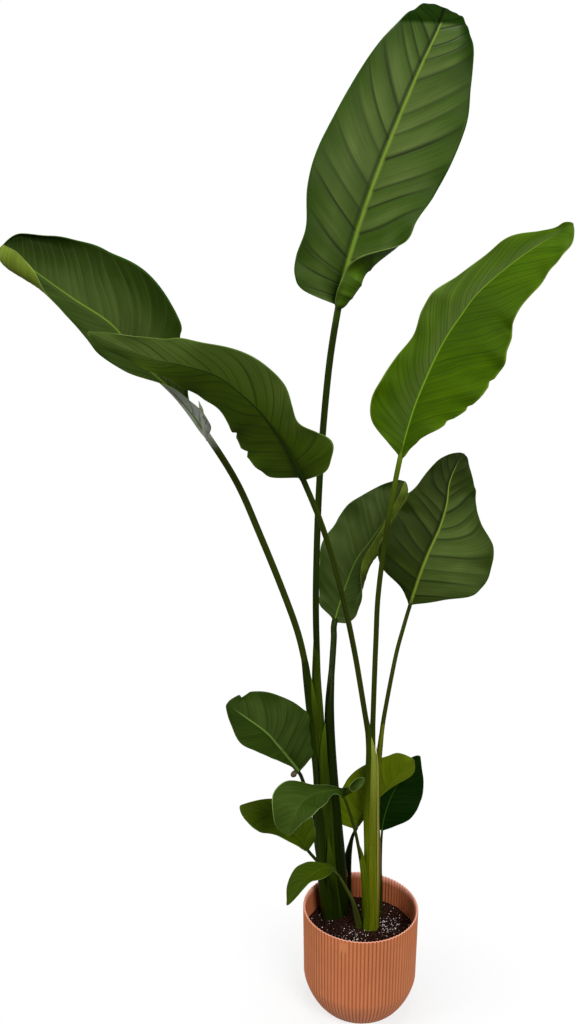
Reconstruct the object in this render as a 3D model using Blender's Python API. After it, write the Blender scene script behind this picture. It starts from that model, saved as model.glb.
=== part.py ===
"""Potted bird of paradise: a ribbed pot of soil, two leaf-sheath stems and twelve leaves.

Metres, +Z up. The origin is the centre of the pot's foot, on the floor. The plant's front is
towards -Y. Each leaf is a petiole and a blade: the blade's midrib carries on from the petiole.
"""
import math
from dataclasses import dataclass

import bmesh
import bpy
from mathutils import Vector

# Driving dimensions
GAP = 0.0003                 # space between pieces that touch

POT_RADIUS = 0.110           # over the ribs, at the rim
POT_HEIGHT = 0.200
FOOT_RADIUS = 0.073          # flat face that the pot rests on
SHOULDER_RADIUS = 0.108      # where the rounded foot becomes the wall
SHOULDER_HEIGHT = 0.062
ROUNDING = 1.4               # fullness of the rounded foot: 2 is a true ellipse, 1 a straight slope
WALL = 0.0028
FLOOR = 0.004
RIBS = 96
RIB_DEPTH = 0.0016

SOIL_TOP = 0.145
SOIL_CROWN = 0.003           # rise of the soil from the wall to the middle
ROOTING_DEPTH = 0.022        # how deep each stem is set in the soil

LAMINA = 0.0016              # thickness of a blade
MIDRIB = 0.0070              # thickness of a blade along its midrib, at the base
NECK = 0.0025                # straight start of a blade, before it widens
BLADE_COLUMNS = 8            # faces across a blade
BEND_STAGES = 10             # steps in which a half of a blade bends on its way to the margin

SOIL_SIDES = 48
STEM_SIDES = 24
STALK_SIDES = 10
STALK_STEPS = 4              # rings between one point of a petiole and the next


@dataclass
class Half:
    """One half of a blade, from midrib to margin. Values follow each other from base to tip."""
    widths: tuple            # between the base and the tip, where the blade starts and ends at 0
    lift: tuple = (10, 10)   # degrees it rises from flat where it leaves the midrib
    curl: tuple = (0, 0)     # degrees it bends upwards, evenly, on its way to the margin
    roll: tuple = (0, 0)     # further degrees that its outer part bends
    roll_from: float = 0.6   # where across the half that bend starts


@dataclass
class Leaf:
    """A petiole's centre line, straight up to its second point, then the midrib from it to the tip."""
    name: str
    petiole: list
    radii: tuple             # of the petiole, at its foot and at the blade
    midrib: list
    faces: tuple             # way that the upper side looks, at the blade's base and at its tip
    left: Half
    right: Half
    green: tuple = (0.045, 0.105, 0.022)
    rows: int = 14           # faces along the blade


LEAVES = [
    Leaf("far_left",
         [(-0.0915, 0.044, 0.556), (-0.0915, 0.044, 0.560), (-0.097, 0.040, 0.615), (-0.106, 0.032, 0.673),
          (-0.122, 0.025, 0.745), (-0.151, 0.020, 0.830), (-0.188, 0.010, 0.928), (-0.227, 0.005, 1.022),
          (-0.273, 0.000, 1.117)],
         (0.0060, 0.0058),
         [(-0.303, -0.005, 1.170), (-0.343, -0.015, 1.222), (-0.409, -0.040, 1.285), (-0.458, -0.060, 1.318),
          (-0.517, -0.075, 1.360), (-0.585, -0.080, 1.410)],
         ((0.2, -0.8, 0.5), (0.0, -0.8, 0.6)),
         Half((0.05, 0.08, 0.08, 0.06, 0.04), lift=(110, 60, 15, 5), roll=(0, 0, 80, 200, 200), roll_from=0.3),
         Half((0.02, 0.045, 0.095, 0.095, 0.06), lift=(90, 50, 5, 0), roll=(0, 0, 0, 40, 150), roll_from=0.6)),
    Leaf("top",
         [(-0.0785, 0.044, 0.556), (-0.0785, 0.044, 0.560), (-0.0815, 0.044, 0.600), (-0.085, 0.045, 0.680),
          (-0.088, 0.045, 0.816), (-0.083, 0.040, 1.021), (-0.070, 0.035, 1.203), (-0.054, 0.030, 1.318)],
         (0.0060, 0.0058),
         [(-0.038, 0.028, 1.393), (-0.007, 0.035, 1.500), (0.030, 0.048, 1.592), (0.078, 0.070, 1.710),
          (0.102, 0.090, 1.765), (0.114, 0.120, 1.817)],
         ((0.0, -1.0, 0.15), (0.1, -0.8, 0.5)),
         Half((0.075, 0.09, 0.095, 0.065, 0.04), lift=(10, 10), curl=(0, -10)),
         Half((0.05, 0.085, 0.11, 0.075, 0.04), lift=(20, 10), roll=(220, 120, 0, 0, 0, 0), roll_from=0.3)),
    Leaf("middle",
         [(-0.0630, 0.045, 0.556), (-0.0630, 0.045, 0.560), (-0.0615, 0.047, 0.590), (-0.0570, 0.070, 0.640),
          (-0.051, 0.115, 0.695), (-0.048, 0.150, 0.719)],
         (0.0060, 0.0050),
         [(-0.030, 0.162, 0.777), (-0.007, 0.172, 0.835), (0.023, 0.182, 0.876), (0.058, 0.195, 0.925),
          (0.088, 0.210, 0.987)],
         ((0.0, -1.0, 0.2), (0.0, -1.0, 0.2)),
         Half((0.035, 0.055, 0.075, 0.07, 0.035)),
         Half((0.04, 0.045, 0.045, 0.05, 0.035), lift=(10, 10, 20), roll=(0, 20, 200, 230, 200), roll_from=0.2)),
    Leaf("arching",
         [(0.0105, 0.004, 0.526), (0.0105, 0.004, 0.530), (0.0080, 0.001, 0.555), (-0.001, -0.010, 0.610),
          (-0.022, -0.030, 0.729), (-0.047, -0.060, 0.843), (-0.079, -0.090, 0.958), (-0.114, -0.119, 1.050)],
         (0.0050, 0.0048),
         [(-0.140, -0.130, 1.106), (-0.165, -0.140, 1.142), (-0.194, -0.150, 1.176), (-0.244, -0.155, 1.217),
          (-0.299, -0.155, 1.235), (-0.351, -0.150, 1.246), (-0.444, -0.140, 1.284)],
         ((0.3, 0.9, 0.2), (0.1, 0.7, 0.7)),
         Half((0.07, 0.045, 0.05, 0.035, 0.02), lift=(0, 30, 30, 40, 40)),
         Half((0.055, 0.075, 0.065, 0.045, 0.03), lift=(0, 0, 15, 20, 20))),
    Leaf("right",
         [(0.0175, 0.0155, 0.526), (0.0175, 0.0155, 0.530), (0.0178, 0.014, 0.565), (0.018, 0.005, 0.652),
          (0.019, 0.000, 0.739), (0.021, -0.005, 0.826), (0.033, -0.010, 0.944), (0.051, -0.020, 1.067)],
         (0.0050, 0.0045),
         [(0.070, -0.025, 1.148), (0.091, -0.030, 1.208), (0.115, -0.035, 1.263), (0.142, -0.040, 1.307),
          (0.172, -0.050, 1.349), (0.234, -0.070, 1.403), (0.295, -0.110, 1.445)],
         ((-0.1, -1.0, 0.1), (-0.1, -0.9, 0.4)),
         Half((0.05, 0.07, 0.06, 0.035, 0.015), lift=(40, 20, 35, 45)),
         Half((0.022, 0.085, 0.10, 0.065, 0.04), lift=(40, 5, 5, 30))),
    Leaf("low_right",
         [(0.0320, 0.006, 0.526), (0.0320, 0.006, 0.530), (0.0370, 0.020, 0.565), (0.044, 0.030, 0.603),
          (0.053, 0.035, 0.655), (0.063, 0.045, 0.701), (0.074, 0.052, 0.741), (0.086, 0.060, 0.781)],
         (0.0043, 0.0036),
         [(0.104, 0.066, 0.839), (0.122, 0.078, 0.882), (0.142, 0.093, 0.922), (0.156, 0.110, 0.963),
          (0.164, 0.130, 1.003), (0.188, 0.150, 1.052)],
         ((0.0, -1.0, 0.2), (0.0, -0.9, 0.4)),
         Half((0.03, 0.085, 0.08, 0.06, 0.03)),
         Half((0.05, 0.11, 0.095, 0.05, 0.03))),
    Leaf("young_left",
         [(-0.066, 0.070, 0.123), (-0.066, 0.070, 0.150), (-0.070, 0.070, 0.205), (-0.083, 0.072, 0.280),
          (-0.090, 0.062, 0.366), (-0.110, 0.030, 0.442), (-0.119, 0.008, 0.474)],
         (0.0040, 0.0034),
         [(-0.138, -0.006, 0.508), (-0.159, -0.018, 0.542), (-0.183, -0.030, 0.576), (-0.248, -0.040, 0.631)],
         ((0.3, -0.8, 0.6), (0.3, -0.8, 0.6)),
         Half((0.01, 0.022, 0.035, 0.048, 0.03), lift=(60, 50, 20, 0)),
         Half((0.042, 0.062, 0.082, 0.072, 0.04), lift=(20, 15, 10)), rows=10),
    Leaf("young_tucked",
         [(-0.048, 0.006, 0.123), (-0.048, 0.006, 0.150), (-0.050, 0.006, 0.210), (-0.070, 0.003, 0.265),
          (-0.101, -0.005, 0.319)],
         (0.0036, 0.0030),
         [(-0.114, -0.010, 0.343), (-0.130, -0.015, 0.364), (-0.180, -0.020, 0.405), (-0.227, -0.030, 0.426)],
         ((0.2, -0.7, 0.7), (0.2, -0.7, 0.7)),
         Half((0.01, 0.022, 0.03, 0.04, 0.025), lift=(60, 50, 20, 0)),
         Half((0.025, 0.036, 0.05, 0.03, 0.01)), rows=10),
    Leaf("young_front",
         [(0.0058, 0.009, 0.215), (0.0056, 0.008, 0.240), (-0.001, -0.003, 0.295), (-0.0075, -0.012, 0.335),
          (-0.0145, -0.020, 0.378)],
         (0.0034, 0.0028),
         [(-0.038, -0.040, 0.434), (-0.052, -0.070, 0.475), (-0.077, -0.110, 0.500), (-0.112, -0.140, 0.490),
          (-0.142, -0.150, 0.442)],
         ((0.3, 0.9, 0.3), (-0.3, -0.7, 0.6)),
         Half((0.03, 0.045, 0.045, 0.035, 0.015)), Half((0.03, 0.03, 0.035, 0.055, 0.04)), rows=12),
    Leaf("young_drooping",
         [(0.0000, -0.016, 0.123), (0.0000, -0.016, 0.150), (-0.005, -0.018, 0.190), (-0.018, -0.024, 0.238),
          (-0.044, -0.040, 0.293)],
         (0.0060, 0.0028),
         [(-0.058, -0.050, 0.311), (-0.078, -0.065, 0.320), (-0.097, -0.080, 0.317), (-0.112, -0.088, 0.308),
          (-0.141, -0.100, 0.270)],
         ((0.2, -0.3, 0.9), (-0.5, -0.5, 0.7)),
         Half((0.006, 0.012, 0.02, 0.014, 0.008)), Half((0.008, 0.012, 0.022, 0.026, 0.015)), rows=10),
    Leaf("young_right",
         [(0.044, 0.040, 0.123), (0.044, 0.040, 0.150), (0.044, 0.045, 0.202), (0.042, 0.045, 0.261),
          (0.043, 0.045, 0.331)],
         (0.0024, 0.0022),
         [(0.051, 0.052, 0.371), (0.072, 0.070, 0.411), (0.118, 0.090, 0.465)],
         ((0.0, -0.9, 0.3), (0.0, -0.9, 0.3)),
         Half((0.02, 0.03, 0.045, 0.035, 0.015)), Half((0.018, 0.04, 0.053, 0.048, 0.018)), rows=10),
    Leaf("young_bright",
         [(-0.019, 0.084, 0.123), (-0.019, 0.084, 0.150), (-0.021, 0.075, 0.241), (-0.012, 0.064, 0.300),
          (0.005, 0.048, 0.356), (0.022, 0.034, 0.403)],
         (0.0080, 0.0034),
         [(0.047, 0.031, 0.439), (0.076, 0.030, 0.463), (0.108, 0.026, 0.486)],
         ((0.0, 0.9, 0.3), (0.0, 0.9, 0.3)),
         Half((0.008, 0.012, 0.012, 0.01, 0.006)), Half((0.02, 0.03, 0.033, 0.028, 0.018)), rows=10),
]

# Stems: centre and half-widths (x, y) at each height, from the buried end to the cut-off top
LEFT_STEM = [
    ((-0.0440, 0.052, SOIL_TOP - ROOTING_DEPTH), (0.0285, 0.0190)),
    ((-0.0440, 0.052, 0.150), (0.0285, 0.0190)),
    ((-0.0570, 0.049, 0.287), (0.0235, 0.0170)),
    ((-0.0630, 0.047, 0.383), (0.0205, 0.0150)),
    ((-0.0710, 0.045, 0.480), (0.0205, 0.0130)),
    ((-0.0775, 0.044, 0.5557), (0.0215, 0.0105)),
]
RIGHT_STEM = [
    ((0.0240, 0.010, SOIL_TOP - ROOTING_DEPTH), (0.0135, 0.0130)),
    ((0.0240, 0.010, 0.150), (0.0135, 0.0130)),
    ((0.0210, 0.010, 0.290), (0.0125, 0.0120)),
    ((0.0200, 0.010, 0.420), (0.0130, 0.0120)),
    ((0.0190, 0.010, 0.5257), (0.0175, 0.0130)),
]


def clear_scene():
    for item in list(bpy.data.objects):
        bpy.data.objects.remove(item, do_unlink=True)


def material(name, colour, roughness):
    finish = bpy.data.materials.new(name)
    finish.use_nodes = True
    shader = finish.node_tree.nodes["Principled BSDF"]
    shader.inputs["Base Color"].default_value = (*colour, 1.0)
    shader.inputs["Roughness"].default_value = roughness
    shader.inputs["Metallic"].default_value = 0.0
    return finish


def add_object(name, data, finish):
    piece = bpy.data.objects.new(name, data)
    data.materials.append(finish)
    bpy.context.collection.objects.link(piece)
    return piece


def mesh_from(bm, name, smooth_below=40):
    mesh = bpy.data.meshes.new(name)
    bm.to_mesh(mesh)
    bm.free()
    mesh.shade_smooth()
    mesh.set_sharp_from_angle(angle=math.radians(smooth_below))
    return mesh


def between(first, last, along):
    return first + (last - first) * along


def smooth(values, along):
    """Value on a smooth curve through evenly spaced values, and its slope; along runs from 0 to 1."""
    guides = [values[0] * 2 - values[1], *values, values[-1] * 2 - values[-2]]
    spans = len(values) - 1
    span = min(int(along * spans), spans - 1)
    t = along * spans - span
    a, b, c, d = guides[span:span + 4]
    bend = 2 * a - 5 * b + 4 * c - d
    twist = 3 * b - a - 3 * c + d
    value = 0.5 * (2 * b + (c - a) * t + bend * t ** 2 + twist * t ** 3)
    slope = 0.5 * ((c - a) + 2 * bend * t + 3 * twist * t ** 2)
    return value, slope


def loft(bm, rings):
    """Close a body through rings of points, each ring extruded from the one before it."""
    first = [bm.verts.new(point) for point in rings[0]]
    bm.faces.new(reversed(first))
    edges = [bm.edges.get((a, b)) for a, b in zip(first, first[1:] + first[:1])]
    verts = first
    for ring in rings[1:]:
        grown = bmesh.ops.extrude_edge_only(bm, edges=edges)["geom"]
        twin = {}
        for edge in (item for item in grown if isinstance(item, bmesh.types.BMEdge)):
            for vert in edge.verts:
                for old in (link.other_vert(vert) for link in vert.link_edges):
                    if old in verts:
                        twin[old] = vert
        edges = [item for item in grown if isinstance(item, bmesh.types.BMEdge)]
        verts = [twin[old] for old in verts]
        for vert, point in zip(verts, ring):
            vert.co = point
    bm.faces.new(verts)
    bmesh.ops.recalc_face_normals(bm, faces=bm.faces)
    return bm


def oval(centre, half_widths, count):
    angles = (2 * math.pi * step / count for step in range(count))
    return [Vector(centre) + Vector((half_widths[0] * math.cos(turn), half_widths[1] * math.sin(turn), 0))
            for turn in angles]


def pot_ring(radius, height, rib_depth):
    """Ring of the pot's wall: crests at the radius, grooves rib_depth inside it."""
    steps = 2 * RIBS
    ring = []
    for step in range(steps):
        reach = radius - rib_depth * (step % 2)
        turn = 2 * math.pi * step / steps
        ring.append(Vector((reach * math.cos(turn), reach * math.sin(turn), height)))
    return ring


def foot_profile(inset, lowest, steps):
    """Radius and height at points up the rounded foot, inset from the outer surface."""
    profile = []
    for step in range(steps + 1):
        turn = 0.5 * math.pi * (1 - step / steps)
        out = math.cos(turn) ** (2 / ROUNDING)
        down = math.sin(turn) ** (2 / ROUNDING)
        radius = between(FOOT_RADIUS, SHOULDER_RADIUS, out) - inset
        profile.append((radius, between(SHOULDER_HEIGHT, lowest, down)))
    return profile


def make_pot():
    rings = []
    outside = foot_profile(0, 0, 4)
    for radius, height in outside:
        rib = RIB_DEPTH * min(1, height / 0.01)
        rings.append(pot_ring(radius, height, rib))
    rings.append(pot_ring(POT_RADIUS, POT_HEIGHT, RIB_DEPTH))
    rings.append(pot_ring(POT_RADIUS - WALL, POT_HEIGHT, RIB_DEPTH))
    inside = foot_profile(WALL, FLOOR, 2)
    for radius, height in reversed(inside):
        rings.append(pot_ring(radius, height, RIB_DEPTH if height > FLOOR else 0))
    bm = loft(bmesh.new(), rings)
    return add_object("pot", mesh_from(bm, "pot", 20), material("pot_plastic", (0.52, 0.16, 0.08), 0.5))


def hidden_cutter(name, rings):
    """Solid that cuts a socket and isn't part of the model."""
    bm = loft(bmesh.new(), rings)
    cutter = bpy.data.objects.new(name, mesh_from(bm, name))
    bpy.context.collection.objects.link(cutter)
    cutter.hide_render = True
    cutter.display_type = "WIRE"
    return cutter


def make_soil(feet):
    """Soil that fills the pot, with a socket for each foot: its centre and half-widths."""
    clear = WALL + RIB_DEPTH + GAP
    profile = foot_profile(clear, FLOOR + GAP, 2)
    wall_slope = (POT_RADIUS - SHOULDER_RADIUS) / (POT_HEIGHT - SHOULDER_HEIGHT)
    edge = SHOULDER_RADIUS - clear + wall_slope * (SOIL_TOP - SHOULDER_HEIGHT)
    profile.append((edge, SOIL_TOP))
    profile.append((edge * 0.5, SOIL_TOP + SOIL_CROWN))
    rings = [oval((0, 0, height), (radius, radius), SOIL_SIDES) for radius, height in profile]
    bm = loft(bmesh.new(), rings)
    soil = add_object("potting_soil", mesh_from(bm, "potting_soil"), material("soil", (0.02, 0.012, 0.008), 0.95))
    for number, (centre, half_widths) in enumerate(feet):
        # a many-sided socket is widened so that its flats clear the foot too
        room = [(half + GAP) / math.cos(math.pi / STEM_SIDES) for half in half_widths]
        bottom = Vector((centre[0], centre[1], SOIL_TOP - ROOTING_DEPTH - GAP))
        top = Vector((centre[0], centre[1], SOIL_TOP + 2 * SOIL_CROWN))
        cutter = hidden_cutter(f"socket_{number}", [oval(bottom, room, STEM_SIDES), oval(top, room, STEM_SIDES)])
        cut = soil.modifiers.new(cutter.name, "BOOLEAN")
        cut.operation = "DIFFERENCE"
        cut.solver = "EXACT"
        cut.object = cutter
    return soil


def make_stem(name, stations, colour):
    rings = [oval(centre, half_widths, STEM_SIDES) for centre, half_widths in stations]
    bm = loft(bmesh.new(), rings)
    return add_object(name, mesh_from(bm, name), material(name, colour, 0.45))


def spine(leaf, part, along):
    """Point and direction on the petiole, part 0, or on the midrib, part 1; along runs from 0 to 1."""
    line = [Vector(point) for point in (*leaf.petiole[1:], *leaf.midrib)]
    joint = (len(leaf.petiole) - 2) / (len(line) - 1)
    place, slope = smooth(line, between(joint, 1, along) if part else joint * along)
    return place, slope.normalized()


def make_petiole(leaf):
    """Tapered stalk as a round bevelled curve with filled ends; it stops just short of the blade."""
    steps = STALK_STEPS * (len(leaf.petiole) - 2)
    places = [Vector(leaf.petiole[0])]
    places += [spine(leaf, 0, step / steps)[0] for step in range(steps)]
    end, ahead = spine(leaf, 0, 1)
    places += [end - ahead * (2 * NECK + GAP), end - ahead * (NECK + GAP)]
    curve = bpy.data.curves.new(f"petiole_{leaf.name}", "CURVE")
    curve.dimensions = "3D"
    curve.bevel_depth = 1.0
    curve.bevel_resolution = (STALK_SIDES - 4) // 2
    curve.render_resolution_u = 0
    curve.use_fill_caps = True
    line = curve.splines.new("POLY")
    line.points.add(len(places) - 1)
    for number, (point, place) in enumerate(zip(line.points, places)):
        point.co = (*place, 1.0)
        point.radius = between(leaf.radii[0], leaf.radii[1], number / (len(places) - 1))
    colour = tuple(1.15 * part for part in leaf.green)
    return add_object(curve.name, curve, material(curve.name, colour, 0.45))


def across(half, step, share, reach):
    """How far out and up a point of the half lies: share of the way to a margin at that reach."""
    lift, curl, roll = (smooth(values, step)[0] for values in (half.lift, half.curl, half.roll))
    out = rise = 0.0
    for stage in range(BEND_STAGES):
        part = share * (stage + 0.5) / BEND_STAGES
        bend = lift + curl * part + roll * max(0.0, part - half.roll_from) / (1 - half.roll_from)
        out += math.cos(math.radians(bend)) * reach * share / BEND_STAGES
        rise += math.sin(math.radians(bend)) * reach * share / BEND_STAGES
    return out, rise


def blade_point(leaf, step, side):
    """Point on the upper side: step runs from 0 to 1 up the blade, side from -1, left, to 1, right."""
    along = 0.5 * (1 - math.cos(math.pi * step))
    place, ahead = spine(leaf, 1, along)
    faces = Vector(leaf.faces[0]).lerp(Vector(leaf.faces[1]), along)
    right = ahead.cross(faces).normalized()
    up = right.cross(ahead)
    half = leaf.right if side > 0 else leaf.left
    narrowest = leaf.radii[1] * between(0.7, 0.3, along)
    reach = max(narrowest, smooth([0.0, *half.widths, 0.0], step)[0])
    out, rise = across(half, step, abs(side), reach)
    return place + right * math.copysign(out, side) + up * rise


def make_blade(leaf):
    """Flat grid bent to the blade's shape, thickened to the underside, most along the midrib."""
    bm = bmesh.new()
    bmesh.ops.create_grid(bm, x_segments=BLADE_COLUMNS, y_segments=leaf.rows + 1, size=1.0)
    ahead = spine(leaf, 1, 0)[1]
    ridge = {}
    for vert in bm.verts:
        side = vert.co.x
        row = round(0.5 * (vert.co.y + 1) * (leaf.rows + 1)) - 1
        step = max(0, row) / leaf.rows
        ridge[vert.index] = (1 - step) if abs(side) < 0.01 else 0.0
        vert.co = blade_point(leaf, step, side)
        if row < 0:
            vert.co -= ahead * NECK
    mesh = mesh_from(bm, f"blade_{leaf.name}")
    blade = add_object(mesh.name, mesh, material(mesh.name, leaf.green, 0.4))
    group = blade.vertex_groups.new(name="midrib")
    for index, weight in ridge.items():
        group.add([index], weight, "REPLACE")
    thicken = blade.modifiers.new("lamina", "SOLIDIFY")
    thicken.thickness = MIDRIB
    thicken.offset = -1
    thicken.vertex_group = group.name
    thicken.thickness_vertex_group = LAMINA / MIDRIB
    return blade


def main():
    clear_scene()
    make_pot()
    feet = [(LEFT_STEM[0][0], LEFT_STEM[0][1]), (RIGHT_STEM[0][0], RIGHT_STEM[0][1])]
    rooted = [leaf for leaf in LEAVES if leaf.petiole[0][2] < SOIL_TOP]
    feet += [(leaf.petiole[0], (leaf.radii[0], leaf.radii[0])) for leaf in rooted]
    make_soil(feet)
    make_stem("left_stem", LEFT_STEM, (0.03, 0.07, 0.012))
    make_stem("right_stem", RIGHT_STEM, (0.14, 0.19, 0.02))
    for leaf in LEAVES:
        make_petiole(leaf)
        make_blade(leaf)


main()
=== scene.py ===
"""Finished look of the potted bird of paradise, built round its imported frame.

Metres, +Z up. The origin is the centre of the pot's foot, on the floor, and the front is towards -Y.
The tables of leaves and sheaths are in millimetres, which those classes turn into metres.
"""

import math
from dataclasses import dataclass

import bmesh
import bpy
import numpy as np
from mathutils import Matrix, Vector, noise


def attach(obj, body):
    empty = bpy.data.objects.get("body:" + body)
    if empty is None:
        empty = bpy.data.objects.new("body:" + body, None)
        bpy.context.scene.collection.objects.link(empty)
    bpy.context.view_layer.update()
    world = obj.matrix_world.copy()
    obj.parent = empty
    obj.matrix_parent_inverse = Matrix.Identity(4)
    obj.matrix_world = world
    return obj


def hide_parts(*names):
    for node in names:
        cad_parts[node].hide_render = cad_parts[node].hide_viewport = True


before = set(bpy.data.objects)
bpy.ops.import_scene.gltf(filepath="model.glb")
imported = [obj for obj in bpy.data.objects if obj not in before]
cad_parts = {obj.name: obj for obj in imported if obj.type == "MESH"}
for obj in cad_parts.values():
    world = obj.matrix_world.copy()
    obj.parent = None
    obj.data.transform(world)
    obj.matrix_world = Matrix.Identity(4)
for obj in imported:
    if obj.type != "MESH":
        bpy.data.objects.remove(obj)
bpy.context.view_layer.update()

POT_RADIUS = 0.110
POT_HEIGHT = 0.200
FOOT_RADIUS = 0.073
SHOULDER_RADIUS = 0.108
SHOULDER_HEIGHT = 0.062
ROUNDING = 1.4               # of the foot's curve: 2 is a quarter of an ellipse, 1 a straight slope
WALL = 0.0028
FLOOR = 0.004
RIBS = 96
RIB_DEPTH = 0.0017
RIB_FACES = 6                # round the pot, for each rib
SHOULDER_RINGS = 18          # from the foot up to the shoulder
WALL_RINGS = 15              # from the shoulder up to the rim
PATCH_TURN = math.radians(-110.5)   # direction of the bare patch below the rim
PATCH_HALF_TURN = 0.085      # and half its angle, in radians
PATCH_HEIGHT = 0.022         # from its lower edge to the top of the rim

SOIL_TOP = 0.145
SOIL_RADIUS = 0.1042
SOIL_FOOT = 0.0045
TOP_RINGS = 60               # rings of faces over the top of the soil
SIDE_RINGS = 6
FOOT_RINGS = 4

LAMINA = 0.0009
LONG_BLADE = 0.3
COLUMNS = 30                 # faces from the midrib to a margin, in a long blade
SHORT_COLUMNS = 22           # and in a shorter one
ROW_STEP = 0.0016            # from row to row of faces, along the midrib
FEWEST_ROWS = 10             # from side vein to side vein
CREASE = 0.055               # half the width of a side vein's crease, as a share of their spacing
BEND_STAGES = 24             # steps in which a half is bent from the midrib to the margin

CAMERA_PLACE = (-0.138, -1.615, 1.33)
CAMERA_TILT = 12.5           # degrees below level
LENS = 33.4
LAMPS = (                    # place, size and watts
    ("key", (1.3, -2.7, 2.9), 1.8, 110),
    ("fill", (-2.9, -0.9, 2.4), 1.6, 68),
    ("top", (0.1, 0.2, 3.6), 1.6, 40),
)
LIT_POINT = (0, 0, 0.9)      # where they all aim


@dataclass
class Half:
    """One half of a blade, from midrib to margin. Values follow each other from base to tip."""
    widths: tuple               # millimetres
    lift: tuple = (10, 10)      # degrees by which it leaves the midrib upwards
    curl: tuple = (0, 0)        # degrees that this grows by on the way to the margin
    roll: tuple = (0, 0)        # degrees by which the margin rolls over
    roll_from: tuple = (0.6, 0.6)   # share of the width at which it starts to roll
    fold: float = 1.0           # share of the rest of the width over which it rolls
    waves: tuple = (4, 4)       # how many waves the margin has, and their height in millimetres
    nicks: tuple = ()           # tears in the margin: place along the blade, depth, half-width
    tones: tuple = ((0, 0), (0, 0))  # rows from base to tip, midrib to margin: 1 full painted sheen, -1 darkest painted shade

    def __post_init__(self):
        self.widths = metres(self.widths)
        self.waves = self.waves[0], metres(self.waves[1])


@dataclass
class Leaf:
    """A petiole's centre line, straight up to its second point, then the midrib from it to the tip."""
    name: str
    petiole: list
    radii: tuple                # of the petiole, from its foot to the blade
    midrib: list
    faces: tuple                # where the upper side looks, at the base and at the tip
    left: Half
    right: Half
    upper: str = "deep"
    lower: str = "pale"
    rib: float = 1.8            # half the width of the pale midrib where the blade begins
    sweep: float = 0.15         # how far the side veins run on towards the tip
    depth: float = 1.7          # of the valleys along the side veins
    spacing: float = 23         # of the side veins, along the midrib
    stalk: str = "olive"
    gloss: float = 0.17
    joint: int = 2              # stations over which the petiole takes on the midrib's tone
    joint_tone: str = ""        # palette whose midrib tone that is, if not the lower side's
    tip: str = ""               # palette of painted shade for the upper side's end, where it bends away
    base: str = ""              # tone of the lower side next to the petiole
    bend: float = 0             # height above which the tip, bending away, is painted in that shade

    def __post_init__(self):
        for length in ("petiole", "radii", "midrib", "rib", "depth", "spacing", "bend"):
            setattr(self, length, metres(getattr(self, length)))


@dataclass
class Sheath:
    """Leaf base wrapped round a stem."""
    name: str
    node: str
    slot: str
    tone: str
    line: tuple                 # its middle line from the soil up: x, y, z and half the width
    depth: float = 1.0          # from front to back, as a share of the width
    pale: tuple = (0, 0)        # how far it fades to its pale tone, from the soil up

    def __post_init__(self):
        self.line = metres(self.line)


def metres(millimetres):
    return np.asarray(millimetres) / 1000


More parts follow.
